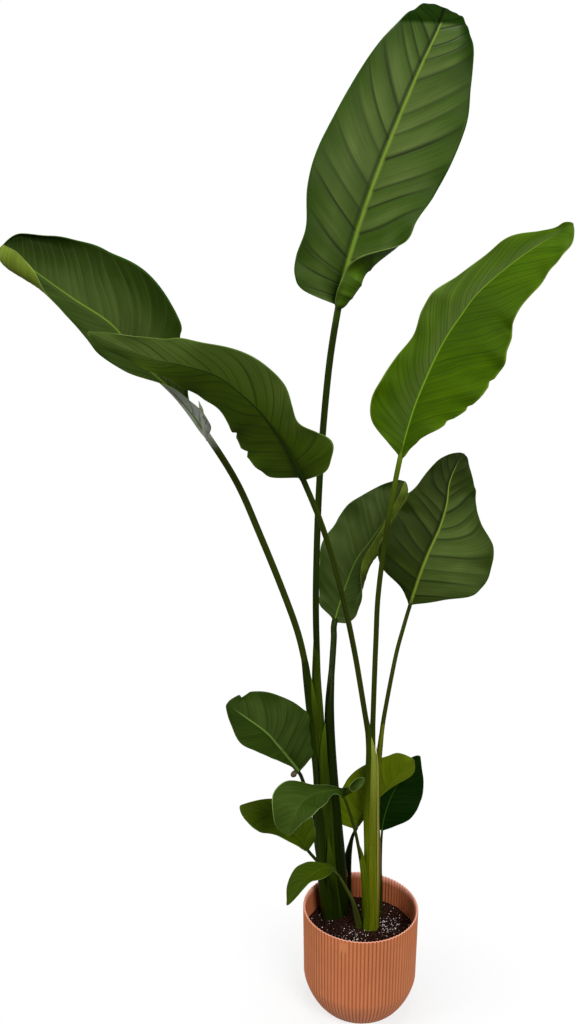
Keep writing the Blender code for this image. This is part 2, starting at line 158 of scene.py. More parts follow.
LEAVES = [
    Leaf("far_left",
        [(-91.5, 44, 556), (-91.5, 44, 560), (-97, 40, 615), (-106, 32, 673), (-122, 25, 745),
         (-151, 20, 830), (-188, 10, 928), (-227, 5, 1022), (-277, 0, 1106)],
        (6, 5.8),
        [(-325, -5, 1172), (-381, -15, 1228), (-424, -40, 1291), (-482, -60, 1334), (-534, -75, 1374),
         (-585, -80, 1413)],
        ((0.2, -0.8, 0.5), (0, -0.8, 0.6)),
        Half((15, 20, 23, 30, 42, 54, 38, 40, 60, 72, 50),
            lift=(135, 130, 122, 100, 60, 20, 5, 5, 10, 10, 10, 10, 10),
            roll=(0, 0, 0, 0, 0, 0, 0, 0, 60, 170, 230, 240, 240), roll_from=(0.25, 0.25),
            tones=((0.1, 0.1), (0.3, 0.3), (0.2, 0.1), (0, 0))),
        Half((4, 7, 18, 60, 93, 100, 98, 92, 72, 51, 38), lift=(90, 50, 5, 0), roll=(0, 0, 0, 20, 110, 150),
            roll_from=(0.6, 0.6, 0.6, 0.7, 0.74),
            tones=((0.6, 0.7, 0.6, 0.4, 0.2), (0.8, 0.8, 0.7, 0.3, 0), (0.8, 0.7, 0.4, 0, -0.3),
                   (0.3, 0.1, -0.2, -0.4, -0.3), (-0.2, -0.4, -0.7, -0.6, -0.3))),
        upper="dusk", lower="rolled", base="silver", rib=3.4, depth=0.5, spacing=16, gloss=0.05,
        joint_tone="silver"),
    Leaf("top",
        [(-78.5, 44, 556), (-78.5, 44, 560), (-81.5, 44, 600), (-85, 45, 680), (-88, 45, 816),
         (-83, 40, 1021), (-70, 35, 1203), (-54, 30, 1318)],
        (6, 5.8),
        [(-38, 28, 1393), (-6, 35, 1495), (31, 48, 1592), (75, 66, 1696), (111.5, 90, 1772),
         (127, 130, 1812)],
        ((0, -1, 0.15), (0.1, -0.8, 0.5)),
        Half((3, 64, 83, 88, 85, 102, 107, 101, 92, 78, 65, 55, 45, 33, 18), curl=(0, -10),
            tones=((-0.5, 0.8, 0.9), (-0.4, 0.4, -0.4), (0.4, 0.6, -0.2), (0, 0, -0.5), (0.1, 0, -0.3))),
        Half((40, 60, 78, 84, 115, 92, 101, 108, 106, 89, 72, 52, 40, 28, 16),
            lift=(60, 40, 20, 8, 2, 0, 0, 0, 0), roll=(190, 190, 180, 170, 60, 0, 0, 0, 0, 0, 0, 0, 0),
            roll_from=(0.3, 0.3), fold=0.7, waves=(6, 3),
            tones=((-0.3, -0.3, -0.4), (0.1, 0, -0.5), (0.7, 0.5, -0.3), (0.3, 0, -0.8), (0.1, -0.3, -1))),
        lower="under", tip="painted_tip_shade", rib=5.4, depth=2.2, gloss=0.14, sweep=0.1, spacing=30, bend=1776,
        stalk="dark"),
    Leaf("middle",
        [(-63, 45, 556), (-63, 45, 560), (-61.5, 47, 590), (-57, 70, 640), (-51, 115, 695), (-48, 150, 719)],
        (6, 6),
        [(-30, 162, 777), (-7, 172, 835), (23, 182, 876), (58, 195, 925), (88, 210, 987)],
        ((0, -1, 0.2), (0, -1, 0.2)),
        Half((4, 12, 37, 45, 55, 64, 77, 76, 79, 79, 71, 59, 43, 26, 13),
            tones=((0.1, 0), (0.4, 0.1), (0.7, 0.4), (0.8, 0.2), (0.2, -0.4))),
        Half((22, 31, 38, 40, 44, 46, 48, 50, 55, 60, 58, 52, 41, 28, 14), lift=(5, 5, 10),
            roll=(0, 0, 60, 165, 170, 170, 170, 160), roll_from=(0.75, 0.72, 0.66, 0.5, 0.42, 0.42, 0.42),
            fold=0.3, tones=((0.1, 0.1), (0.3, 0.2), (0.3, 0), (-0.1, -0.3))),
        upper="dusk", lower="turned", base="shaded", depth=0.8, spacing=16, stalk="shadowed"),
    Leaf("arching",
        [(10.5, 4, 526), (10.5, 4, 530), (8, 1, 555), (-1, -10, 610), (-22, -30, 729), (-47, -60, 843),
         (-79, -90, 958), (-114, -119, 1050)],
        (5, 4.8),
        [(-140, -130, 1106), (-165, -140, 1142), (-194, -150, 1176), (-244, -155, 1217), (-299, -155, 1235),
         (-351, -150, 1246), (-444, -140, 1284)],
        ((0.3, 0.9, 0.2), (0.1, 0.9, 0.35)),
        Half((40, 56, 68, 54, 38, 46, 56, 60, 48, 41, 36, 32, 23, 11, 3), lift=(0, 10, 10, 15, 15),
            tones=((-0.8, -0.3), (-0.2, 0.1), (0, 0.5), (0.3, 0.5), (0.9, 0.5), (0.8, 0.3))),
        Half((3, 51, 61, 68, 71, 65, 57, 45, 46, 39, 26, 19, 17, 15, 6), lift=(0, 0),
            nicks=((0.31, 0.12, 0.03), (0.4, 0.1, 0.02)),
            tones=((-0.5, -0.5), (-0.2, -0.1), (-0.1, -0.3), (-0.1, -0.5), (0.6, 0), (0.8, 0.3))),
        rib=1.2, depth=0.2),
    Leaf("right",
        [(17.5, 15.5, 526), (17.5, 15.5, 530), (17.8, 14, 565), (18, 5, 652), (19, 0, 739), (21, -5, 826),
         (33, -10, 944), (51, -20, 1067)],
        (5, 4.5),
        [(70, -25, 1148), (91, -30, 1208), (115, -35, 1263), (142, -40, 1307), (172, -50, 1349),
         (234, -70, 1403), (295, -110, 1445)],
        ((0.05, -1, 0.25), (0.05, -0.9, 0.45)),
        Half((4, 26, 62, 73, 68, 60, 49, 58, 59, 44, 38, 36, 19, 10, 7), lift=(15, 0, 0, 10), waves=(5, 5),
            tones=((-0.1, 0, 0), (0.6, 0.2, -0.2), (1, 0.2, 0.1), (1, 0.4, 0.6), (0.9, 0.1, 0.1),
                   (0.2, 0, 0))),
        Half((6, 17, 34, 62, 84, 98, 106, 110, 97, 90, 74, 70, 60, 51, 33), lift=(45, 25, 25, 30),
            waves=(6, 4),
            nicks=((0.17, 0.05, 0.02), (0.26, 0.06, 0.015), (0.33, 0.04, 0.012), (0.42, 0.04, 0.015)),
            tones=((-0.1, 0, 0), (-0.2, 0, 0), (-0.2, -0.1, 0), (-0.4, -0.1, -0.2), (0.1, 0, 0),
                   (0.2, 0.1, 0.2))),
        upper="fresh", lower="lit", rib=1.6, sweep=0.19, depth=0.5, spacing=12.5, joint=6, gloss=0.06),
    Leaf("low_right",
        [(32, 6, 526), (32, 6, 530), (37, 20, 565), (44, 30, 603), (53, 35, 655), (63, 45, 701),
         (74, 52, 741), (86, 60, 781)],
        (4.3, 3.6),
        [(104, 66, 839), (122, 78, 882), (142, 93, 922), (156, 110, 963), (164, 130, 1003),
         (188, 150, 1052)],
        ((0, -1, 0.2), (0, -0.9, 0.4)),
        Half((3, 11, 30, 75, 93, 91, 88, 85, 79, 74, 58, 44, 34, 21, 10),
            tones=((-0.3, -0.9, -0.9), (-0.1, -0.2, -0.7), (0.1, 0, -0.3), (-0.1, -0.4, -0.2),
                   (-0.4, -0.7, -0.6))),
        Half((3, 25, 56, 97, 112, 117, 114, 101, 69, 54, 50, 44, 32, 20, 11),
            tones=((-0.3, -0.3, 0.1), (0.4, 0.7, 0.2), (0.6, 0.7, 0.1), (-0.1, -0.3, -0.1),
                   (-0.5, -0.7, -0.6))),
        upper="grey", rib=3.4, depth=1.4, gloss=0.08, sweep=0.13, spacing=26),
    Leaf("young_left",
        [(-66, 70, 123), (-66, 70, 150), (-70, 70, 205), (-83, 72, 280), (-90, 62, 366), (-110, 30, 442),
         (-119, 8, 474)],
        (4, 3.4),
        [(-138, -6, 508), (-159, -18, 542), (-183, -30, 576), (-248, -40, 631)],
        ((0.3, -0.8, 0.6), (0.3, -0.8, 0.6)),
        Half((3, 9, 13, 19, 28, 35, 40, 46, 49, 28, 11), lift=(60, 50, 20, 0), waves=(2, 1.5),
            tones=((-0.1, 0), (0.1, 0), (0, -0.2), (-0.2, -0.5))),
        Half((22, 40, 48, 59, 69, 80, 77, 71, 59, 41, 19), lift=(20, 15, 10), waves=(3, 3),
            nicks=((0.86, 0.3, 0.03),),
            tones=((0.2, 0.3, 0.1), (-0.2, 0.3, 0.2), (0.4, 0.4, 0.2), (0.2, 0.3, -0.1),
                   (-0.2, -0.3, -0.5))),
        upper="calm", rib=4.4, depth=0.7, spacing=22, gloss=0.1, stalk="dark"),
    Leaf("young_tucked",
        [(-47, 30, 123), (-47, 30, 150), (-49, 24, 210), (-68, 12, 265), (-101, -5, 319)],
        (3.6, 3),
        [(-114, -10, 343), (-130, -15, 364), (-180, -20, 405), (-227, -30, 426)],
        ((0.2, -0.7, 0.7), (0.2, -0.7, 0.7)),
        Half((4, 11, 18, 24, 26, 28, 31, 41, 37, 25, 12), lift=(60, 50, 20, 0), waves=(2, 1.2)),
        Half((22, 26, 30, 37, 44, 51, 46, 29, 17, 9, 4), waves=(2, 1.2)),
        upper="leafy", rib=1.2, depth=0.4, spacing=13, gloss=0.1, stalk="dark"),
    Leaf("young_front",
        [(5.8, 9, 215), (5.6, 8, 240), (-1, -3, 295), (-7.5, -12, 335), (-14.5, -19, 370), (-25, -26, 410),
         (-36.4, -32, 444)],
        (3.4, 3, 2.6),
        [(-48, -45, 466), (-62, -60, 474), (-86, -80, 480), (-109.3, -110, 483), (-123.4, -135, 476.5),
         (-138.9, -150, 438.1)],
        ((0.1, -0.5, 0.8), (-0.3, -0.7, 0.6)),
        Half((2, 7, 14, 10, 25, 33, 33, 16, 5), waves=(2, 1)),
        Half((18, 9, 6, 10, 18, 48, 51, 38, 24), waves=(2, 1),
            tones=((-0.3, -0.6), (-0.2, -0.6), (0.2, -0.4), (0.3, 0), (0.1, 0))),
        upper="young", lower="shaded", rib=0.8, depth=0.4, spacing=10, gloss=0.08),
    Leaf("young_drooping",
        [(-1.5, 8, 123), (-1.5, 8, 150), (-8.5, -4, 187), (-17.8, -16, 223.5), (-31.7, -24, 256),
         (-45.5, -36, 288)],
        (7, 5.6, 3.6, 3, 2.6),
        [(-58, -50, 311), (-78, -65, 320), (-97, -80, 317), (-112, -88, 308), (-141, -100, 270)],
        ((0.2, -0.3, 0.9), (-0.5, -0.5, 0.7)),
        Half((4, 7, 7, 17, 22, 14, 11, 8, 4), waves=(2, 1), tones=((-0.3, -0.3), (-0.3, -0.3))),
        Half((5, 10, 8, 10, 24, 28, 29, 21, 6), waves=(2, 1), tones=((-0.3, -0.3), (-0.2, -0.4))),
        upper="leafy", lower="shaded", rib=0.8, depth=0.3, spacing=12, gloss=0.06, stalk="drooped"),
    Leaf("young_right",
        [(44, 40, 123), (44, 40, 150), (44, 45, 202), (42, 45, 261), (43, 45, 331)],
        (2.4, 2.2),
        [(51, 52, 371), (72, 70, 411), (118, 90, 465)],
        ((0, -0.9, 0.3), (0, -0.9, 0.3)),
        Half((6, 12, 19, 29, 38, 44, 45, 35, 24, 13, 6), waves=(2, 1)),
        Half((6, 19, 31, 41, 50, 54, 54, 50, 36, 17, 5), waves=(2, 1)),
        upper="night", lower="shaded", rib=1.4, depth=0.2, spacing=14, gloss=0.02, stalk="dark"),
    Leaf("young_bright",
        [(-19, 84, 123), (-19, 84, 150), (-21, 75, 241), (-14.5, 58, 305), (-7.6, 44, 335)],
        (8.5, 8, 3.6, 3),
        [(-2.2, 44, 356), (10.9, 43, 378), (29.3, 40, 401), (54.5, 33, 438), (93.3, 22, 495)],
        ((0, 0.9, 0.3), (0, 0.9, 0.3)),
        Half((2, 6, 10, 8, 4, 4, 13, 29, 14), waves=(2, 1)),
        Half((32, 36, 43, 53, 61, 67, 69, 67, 56, 40, 28), waves=(2, 1),
            tones=((0, 0), (0, 0), (-0.2, 0), (0, 0))),
        lower="brightest", rib=0.9, depth=0.3, spacing=14, stalk="dark"),
]


# ------------ shaping

def between(first, last, along):
    return first + (last - first) * along


def fade(values, start, end):
    """0 before the start, 1 past the end, and straight between the two."""
    return np.clip((values - start) / (end - start), 0, 1)


def unit(vectors):
    return vectors / np.maximum(np.linalg.norm(vectors, axis=-1, keepdims=True), 1e-9)


def line_length(points):
    return np.linalg.norm(np.diff(points, axis=0), axis=1).sum()


def smooth(values, along):
    """Values on a smooth curve through evenly spaced ones, and its slopes, at each along from 0 to 1."""
    values = np.asarray(values, float)
    guides = np.concatenate([2 * values[:1] - values[1:2], values, 2 * values[-1:] - values[-2:-1]])
    spans = len(values) - 1
    along = np.asarray(along, float)
    span = np.clip((along * spans).astype(int), 0, spans - 1)
    t = (along * spans - span).reshape(along.shape + (1,) * (values.ndim - 1))
    a, b, c, d = (guides[span + step] for step in range(4))
    bend = 2 * a - 5 * b + 4 * c - d
    twist = 3 * b - a - 3 * c + d
    value = 0.5 * (2 * b + (c - a) * t + bend * t ** 2 + twist * t ** 3)
    slope = 0.5 * ((c - a) + 2 * bend * t + 3 * twist * t ** 2)
    return value, slope


def table_value(table, step, share):
    """Value of a small table whose rows go from base to tip and whose columns from midrib to margin."""
    rows = smooth(table, step)[0]
    place = share * (rows.shape[-1] - 1)
    low = np.clip(place.astype(int), 0, rows.shape[-1] - 2)
    first = np.take_along_axis(rows, low[..., None], -1)[..., 0]
    last = np.take_along_axis(rows, low[..., None] + 1, -1)[..., 0]
    return between(first, last, place - low)


def shaped_grid(name, columns, rows, shape):
    """Grid whose points shape() places from u and v, both 0 to 1; shape also returns its attributes."""
    bm = bmesh.new()
    bmesh.ops.create_grid(bm, x_segments=columns, y_segments=rows, size=0.5)
    mesh = finished_mesh(bm, name)
    flat = np.empty(3 * len(mesh.vertices), np.float32)
    mesh.vertices.foreach_get("co", flat)
    u, v = flat[0::3] + 0.5, flat[1::3] + 0.5
    column = np.rint(u * columns).astype(int)
    row = np.rint(v * rows).astype(int)
    grid_u, grid_v = np.meshgrid(np.arange(columns + 1) / columns, np.arange(rows + 1) / rows)
    points, marks = shape(grid_u, grid_v)
    mesh.vertices.foreach_set("co", points[row, column].astype(np.float32).ravel())
    for mark, values in marks.items():
        kind, field = ("FLOAT_VECTOR", "vector") if values.ndim == 3 else ("FLOAT", "value")
        layer = mesh.attributes.new(mark, kind, "POINT")
        layer.data.foreach_set(field, values[row, column].astype(np.float32).ravel())
    mesh.update()
    return mesh


def finished_mesh(bm, name):
    mesh = bpy.data.meshes.new(name)
    bm.to_mesh(mesh)
    bm.free()
    return mesh


def new_object(name, data):
    made = bpy.data.objects.new(name, data)
    bpy.context.collection.objects.link(made)
    return made


def close_up(mesh):
    """Merge a wrapped grid's seam and poles, fill open ends and turn its faces outwards."""
    bm = bmesh.new()
    bm.from_mesh(mesh)
    bmesh.ops.remove_doubles(bm, verts=bm.verts, dist=1e-6)
    bmesh.ops.dissolve_degenerate(bm, edges=bm.edges, dist=1e-7)
    bmesh.ops.holes_fill(bm, edges=bm.edges, sides=0)
    bmesh.ops.recalc_face_normals(bm, faces=bm.faces)
    bm.to_mesh(mesh)
    bm.free()


def give_thickness(piece):
    """Make a lamina of a sheet, with the second finish on its lower side and the third round its edge."""
    solid = piece.modifiers.new("lamina", "SOLIDIFY")
    solid.thickness = LAMINA
    solid.offset = -1
    solid.material_offset = 1
    solid.material_offset_rim = 2


def add_piece(name, mesh, finishes, node=None, sharp=None):
    """Put a mesh in the scene; edges bent more than sharp degrees stay crisp."""
    piece = new_object(name, mesh)
    for finish in finishes:
        mesh.materials.append(finish)
    mesh.shade_smooth()
    if sharp:
        mesh.set_sharp_from_angle(angle=math.radians(sharp))
    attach(piece, "root")
    if node:
        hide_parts(node)
    return piece


# ------------ finishes

class Finish:
    """A material's node tree with its Principled shader."""

    def __init__(self, name, roughness):
        self.material = bpy.data.materials.new(name)
        self.material.use_nodes = True
        self.tree = self.material.node_tree
        self.shader = self.tree.nodes["Principled BSDF"]
        self.shade("Roughness", roughness)

    def set(self, node, socket, value):
        target = node.inputs[socket]
        if isinstance(value, bpy.types.NodeSocket):
            self.tree.links.new(value, target)
        elif target.type == "RGBA":
            target.default_value = (*value, 1.0)
        else:
            target.default_value = value

    def shade(self, socket, value):
        self.set(self.shader, socket, value)

    def add(self, kind, sockets, **settings):
        node = self.tree.nodes.new("ShaderNode" + kind)
        for field, value in settings.items():
            setattr(node, field, value)
        for socket, value in sockets.items():
            self.set(node, socket, value)
        return node

    def place(self):
        return self.add("TexCoord", {}).outputs["Object"]

    def mark(self, name, output="Fac"):
        return self.add("Attribute", {}, attribute_name=name).outputs[output]

    def maths(self, operation, *values):
        return self.add("Math", dict(enumerate(values)), operation=operation).outputs[0]

    def ramp(self, value, low, high):
        return self.add("MapRange", {"Value": value, "From Min": low, "From Max": high}).outputs["Result"]

    def noise(self, vector, scale, detail=3.0, roughness=0.55):
        sockets = {"Vector": vector, "Scale": scale, "Detail": detail, "Roughness": roughness}
        return self.add("TexNoise", sockets).outputs["Fac"]

    def stretched(self, vector, scales):
        return self.add("VectorMath", {0: vector, 1: scales}, operation="MULTIPLY").outputs["Vector"]

    def blend(self, factor, first, second):
        return self.add("Mix", {0: factor, 6: first, 7: second}, data_type="RGBA").outputs[2]

    def bump(self, height, distance, strength):
        node = self.add("Bump", {"Height": height, "Distance": distance, "Strength": strength})
        self.shade("Normal", node.outputs["Normal"])


def palettes(table):
    """Colours listed in thousandths, as the shares of full that a shader takes."""
    return {name: [tuple(part / 1000 for part in colour) for colour in colours]
            for name, colours in table.items()}


# dark, light, vein line (painted crease shade where it is darker), midrib and margin
GREENS = palettes({
    "deep": ((12, 31, 1), (34, 74, 4), (1, 4, 0.5), (125, 200, 18), (16, 60, 1)),
    "dusk": ((9, 22, 1), (26, 50, 4), (40, 68, 14), (130, 220, 20), (16, 60, 1)),
    "fresh": ((22, 58, 0.5), (72, 145, 0.5), (16, 46, 1), (170, 320, 15), (120, 200, 10)),
    "pale": ((16, 36, 0.5), (44, 78, 1), (14, 30, 1), (8, 20, 1), (90, 150, 20)),
    "under": ((34, 78, 2), (78, 155, 6), (16, 44, 1), (30, 60, 3), (120, 180, 30)),
    "silver": ((220, 240, 200), (420, 450, 410), (200, 240, 150), (300, 330, 250), (400, 440, 360)),
    "lit": ((60, 95, 1), (120, 160, 1), (70, 110, 1), (100, 150, 5), (50, 90, 2)),
    "shaded": ((22, 42, 1), (48, 70, 1), (18, 34, 1), (30, 55, 2), (120, 180, 50)),
    "young": ((14, 32, 2), (36, 68, 6), (16, 36, 2), (50, 90, 10), (250, 330, 120)),
    "calm": ((11, 26, 1), (30, 60, 4), (14, 34, 2), (130, 220, 40), (20, 50, 2)),
    "grey": ((9, 19, 1), (27, 46, 4), (2, 6, 1), (150, 210, 20), (30, 60, 3)),
    "painted_tip_shade": ((3, 12, 1), (11, 30, 1), (3, 12, 1), (30, 70, 4), (20, 50, 2)),
    "rolled": ((65, 100, 6), (150, 200, 22), (60, 90, 6), (100, 150, 10), (200, 260, 60)),
    "leafy": ((26, 52, 0.5), (60, 98, 1), (16, 36, 1), (60, 100, 10), (100, 150, 30)),
    "turned": ((72, 112, 6), (150, 200, 20), (70, 110, 1), (12, 22, 1), (50, 90, 2)),
    "brightest": ((66, 112, 1), (180, 245, 1), (80, 120, 1), (50, 80, 2), (50, 90, 2)),
    "night": ((1, 7, 0.2), (4, 20, 0.5), (2, 10, 1), (30, 70, 4), (20, 50, 2)),
})
PAINTED_SHEEN = (0.040, 0.070, 0.008), (0.098, 0.145, 0.034)    # painted sheen, dark and light: a greyed colour where a blade is painted as if it reflected the lamps
LEAF_TINT = (0.85, 1.0, 0.5)                            # of reflections on leaves and stalks
EDGE_TONES = (0.12, 0.18, 0.04), (0.20, 0.26, 0.07)


def leaf_finish(name, tones, gloss, end=None, end_mark="tip", painted_sheen_and_shade=True, roughness=0.5, dull_tip=False):
    """Blade finish; end is a tone it changes to where the attribute called end_mark says, such as the
    painted shade of the top leaf's tip.
    """
    dark, light, groove_line_and_shade, rib, margin = tones
    finish = Finish(name, roughness)
    finish.shade("Specular IOR Level", gloss)
    finish.shade("Specular Tint", LEAF_TINT)
    veins = finish.mark("veins", "Vector")
    streaks = finish.noise(finish.stretched(veins, (520.0, 9.0, 1.0)), 1.0, 4.0, 0.6)
    broad = finish.noise(finish.stretched(veins, (30.0, 14.0, 1.0)), 1.0, 2.0)
    fine, coarse = finish.maths("MULTIPLY", streaks, 0.6), finish.maths("MULTIPLY", broad, 0.4)
    spread = finish.ramp(finish.maths("ADD", fine, coarse), 0.3, 0.7)
    colour = finish.blend(spread, dark, light)
    # Painted light: a tone above 0 turns the colour towards the painted sheen, a tone below 0 towards
    # painted shade at 0.35 of the dark tone.
    if painted_sheen_and_shade:
        tone = finish.mark("tone")
        colour = finish.blend(finish.ramp(tone, 0.0, 1.0), colour, finish.blend(spread, *PAINTED_SHEEN))
        colour = finish.blend(finish.ramp(tone, 0.0, -1.0), colour, tuple(0.35 * part for part in dark))
    if end:
        colour = finish.blend(finish.mark(end_mark), colour, finish.blend(spread, end[0], end[1]))
    # Creases along the side veins and the painted shadow beside the midrib take the vein line colour, which
    # is painted shade where it is darker than the blade.
    crease = finish.maths("MINIMUM", finish.maths("MULTIPLY", finish.mark("groove_line_and_shade"), 1.15), 1.0)
    colour = finish.blend(crease, colour, groove_line_and_shade)
    colour = finish.blend(finish.ramp(finish.mark("rim"), 0.96, 0.995), colour, margin)
    finish.shade("Base Color", finish.blend(finish.mark("rib"), colour, rib))
    rough = {"Value": streaks, "To Min": roughness - 0.06, "To Max": roughness + 0.08}
    uneven = finish.add("MapRange", rough).outputs["Result"]
    if dull_tip:
        tip = finish.mark("tip")
        level = finish.add("MapRange", {"Value": tip, "To Min": gloss, "To Max": 0.02})
        finish.shade("Specular IOR Level", level.outputs["Result"])
        uneven = finish.maths("ADD", uneven, finish.maths("MULTIPLY", tip, 0.45))
    finish.shade("Roughness", uneven)
    finish.bump(streaks, 0.0003, 0.2)
    return finish.material


def plain_finish(name, dark, light, roughness, scale):
    finish = Finish(name, roughness)
    finish.shade("Specular IOR Level", 0.1)
    tone = finish.noise(finish.place(), scale, 4.0, 0.6)
    finish.shade("Base Color", finish.blend(finish.ramp(tone, 0.3, 0.7), dark, light))
    finish.bump(tone, 0.0002, 0.5)
    return finish.material


# dark, light and pale
STALKS = palettes({
    "dry": ((160, 130, 60), (420, 360, 200), (500, 450, 300)),
    "nub": ((50, 40, 20), (140, 120, 70), (200, 170, 100)),
    "ragged": ((200, 210, 160), (420, 440, 380), (500, 500, 450)),
    "drooped": ((30, 45, 4), (80, 105, 18), (100, 140, 30)),
    "lower": ((14, 30, 1), (42, 66, 1), (130, 165, 1)),
    "shadowed": ((4, 9, 0.5), (13, 24, 1), (50, 85, 3)),
    "olive": ((13, 23, 1), (40, 56, 3), (60, 100, 4)),
    "dark": ((6, 14, 1), (20, 36, 1), (50, 85, 3)),
    "middling": ((14, 30, 1), (42, 66, 1), (90, 140, 4)),
    "light": ((45, 75, 1), (110, 150, 2), (200, 260, 30)),
    "straw": ((65, 92, 1), (200, 220, 8), (280, 310, 50)),
    "browned": ((50, 70, 1), (130, 140, 6), (160, 75, 20)),
})


def stalk_finish(name, dark, light, pale):
    """Finish of a stalk or a sheath, which turns pale where the attribute of that name says."""
    finish = Finish(name, 0.4)
    finish.shade("Specular IOR Level", 0.12)
    finish.shade("Specular Tint", LEAF_TINT)
    grain = finish.stretched(finish.mark("stalk", "Vector"), (26.0, 10.0, 1.0))
    streaks = finish.noise(grain, 1.0, 4.0, 0.6)
    colour = finish.blend(finish.ramp(streaks, 0.36, 0.64), dark, light)
    finish.shade("Base Color", finish.blend(finish.mark("pale"), colour, pale))
    finish.bump(streaks, 0.0002, 0.4)
    return finish.material


# ------------ leaves

def spine(leaf, part, along):
    """Points and directions on the petiole, part 0, or on the midrib, part 1."""
    line = np.concatenate([leaf.petiole[1:], leaf.midrib])
    joint = (len(leaf.petiole) - 2) / (len(line) - 1)
    share = between(joint, 1, along) if part else joint * along
    place, slope = smooth(line, share)
    return place, unit(slope)


def midrib_frame(leaf, along):
    """Points on the midrib, with the blade's right and up there."""
    place, ahead = spine(leaf, 1, along)
    faces = between(np.array(leaf.faces[0]), np.array(leaf.faces[1]), along[..., None])
    right = unit(np.cross(ahead, faces))
    return place, right, np.cross(right, ahead)


def eased(part):
    """0 to 1, slow at both ends."""
    return 0.5 * (1 - np.cos(math.pi * part))


def swept_step(v, share, sweep):
    """How far towards the tip the row v has come at that share of the way to the margin."""
    along = between(v, eased(v), 0.4)
    step = np.arccos(1 - 2 * along) / math.pi
    lean = -np.log2(0.5 - sweep * share * (0.85 + 0.15 * share))
    return np.clip(1 - (1 - step) ** lean, 0, 1)


def across(half, step, share, reach):
    """How far out and up points of the half lie: share of the way to a margin at that reach."""
    shaping = (half.lift, half.curl, half.roll, half.roll_from)
    lift, curl, roll, start = (smooth(values, step)[0] for values in shaping)
    out = np.zeros_like(share)
    rise = np.zeros_like(share)
    for stage in range(BEND_STAGES):
        part = share * (stage + 0.5) / BEND_STAGES
        rolled = np.clip((part - start) / (half.fold * (1 - start)), 0, 1)
        bend = np.radians(lift + curl * part + roll * rolled)
        out += np.cos(bend) * reach * share / BEND_STAGES
        rise += np.sin(bend) * reach * share / BEND_STAGES
    return out, rise


def half_width(half, step, narrowest):
    wide = smooth([0, *half.widths, 0], step)[0]
    for where, depth, spread in half.nicks:
        wide = wide * (1 - depth * np.clip(1 - np.abs(step - where) / spread, 0, 1))
    return np.maximum(narrowest, wide)


def bent_sheet(leaf, side, share, step, phase):
    """Points of both halves before veins are pressed in, with the half's width and the tone, its painted
    sheen and shade, at each.
    """
    along = eased(step)
    place, right, up = midrib_frame(leaf, along)
    narrowest = leaf.radii[-1] * between(0.7, 0.3, along)
    points = np.zeros(side.shape + (3,))
    reach = np.zeros_like(side)
    tone = np.zeros_like(side)
    for sign, half in ((-1, leaf.left), (1, leaf.right)):
        here = side * sign >= 0
        wide = half_width(half, step, narrowest)
        out, rise = across(half, step, share, wide)
        turn = 2 * math.pi * half.waves[0] * step
        wave = half.waves[1] * (np.sin(turn + phase[0] + sign) + 0.5 * np.sin(2.3 * turn + phase[1] * sign))
        rise += wave * share ** 2.5 * np.sin(math.pi * step) ** 0.5
        made = place + right * (sign * out)[..., None] + up * rise[..., None]
        points[here] = made[here]
        reach[here] = wide[here]
        tone[here] = table_value(half.tones, step, share)[here]
    return points, reach, tone


def blade_shape(leaf, veins, seed):
    """Shape of a blade for shaped_grid: rows follow the side veins, which sweep towards the tip."""
    length = line_length([leaf.petiole[-1], *leaf.midrib])
    chance = np.random.default_rng(seed)
    strength = chance.uniform(0.55, 1.0, (2, veins + 1))
    phase = chance.uniform(0, 6.28, 4)

    def side_veins(v, side, share, distance):
        """Marks of the creases along side veins, the height between them, and the painted light and shade
        over each strip: lighter just past a vein, darker before the next.
        """
        wander = 0.22 * np.sin(2.1 * v * veins + phase[2] * np.sign(side)) * np.clip(4 * v * (1 - v), 0, 1)
        run = v * veins + wander
        nearest = np.clip(np.rint(run), 0, veins).astype(int)
        deep = np.where(side < 0, strength[0][nearest], strength[1][nearest])
        off = np.abs(run - np.rint(run))
        passed = run - np.floor(run)
        shown = fade(distance, 0, 0.004) * fade(share, 1, 0.55) ** 0.6 * fade(v, 0, 0.04) * fade(v, 1, 0.78)
        crease = np.exp(-(off / CREASE) ** 1.5)
        hollow = 0.4 * crease + 0.6 * (1 - np.sin(math.pi * off) ** 0.7)
        slant = (0.5 - passed) * np.minimum(1, 8 * off)
        height = -leaf.depth * (0.25 * slant + hollow * deep) * shown
        return crease * deep * shown, height, min(1, leaf.depth / 0.002) * slant * shown

    def shape(u, v):
        side = 2 * u - 1
        share = np.abs(side) ** 1.4
        step = swept_step(v, share, leaf.sweep)
        along = eased(step)
        points, reach, tone = bent_sheet(leaf, side, share, step, phase)
        distance = share * reach
        creases, height, painted_pillow_shading = side_veins(v, side, share, distance)
        half_rib = leaf.rib * (0.9 * (1 - along) ** 0.8 + 0.10)
        rib = np.clip(1.6 - 1.6 * distance / half_rib, 0, 1)
        beside = np.exp(-((distance - 1.3 * half_rib) / (0.6 * half_rib)) ** 2)
        height += (0.9 * rib - 0.5 * beside) * 0.3 * half_rib
        # Painted shade at the end of the upper side: the part above leaf.bend and a band along the right
        # margin in the outer part of the blade take the darker tip palette, and the pale midrib stops there.
        tip = np.zeros_like(u)
        if leaf.tip:
            margin = (side > 0) * fade(share, 0.60, 0.90) * fade(along, 0.72, 0.84)
            tip = np.maximum(fade(points[..., 2], leaf.bend, leaf.bend + 0.006), margin)
        shadow = np.zeros_like(u)
        if leaf.rib > 0.003:
            far = (distance - 1.5 * half_rib - 0.0018) / 0.0026
            shadow = (side < 0) * np.exp(-far ** 2) * fade(along, 0, 0.5)
        normal = unit(np.cross(np.gradient(points, axis=1), np.gradient(points, axis=0)))
        return points + normal * height[..., None], {
            "veins": np.stack([v * length, distance * np.sign(side), np.full_like(u, seed)], axis=-1),
            "groove_line_and_shade": np.maximum(creases, 0.8 * shadow),
            "rib": rib * fade(along, 0.96, 0.90) * (1 - tip),
            "rim": share,
            # tone: painted sheen above 0 and painted shade below 0
            "tone": tone + painted_pillow_shading,
            "tip": tip,
            "base": fade(along, 0.36, 0.26),
        }

    return shape


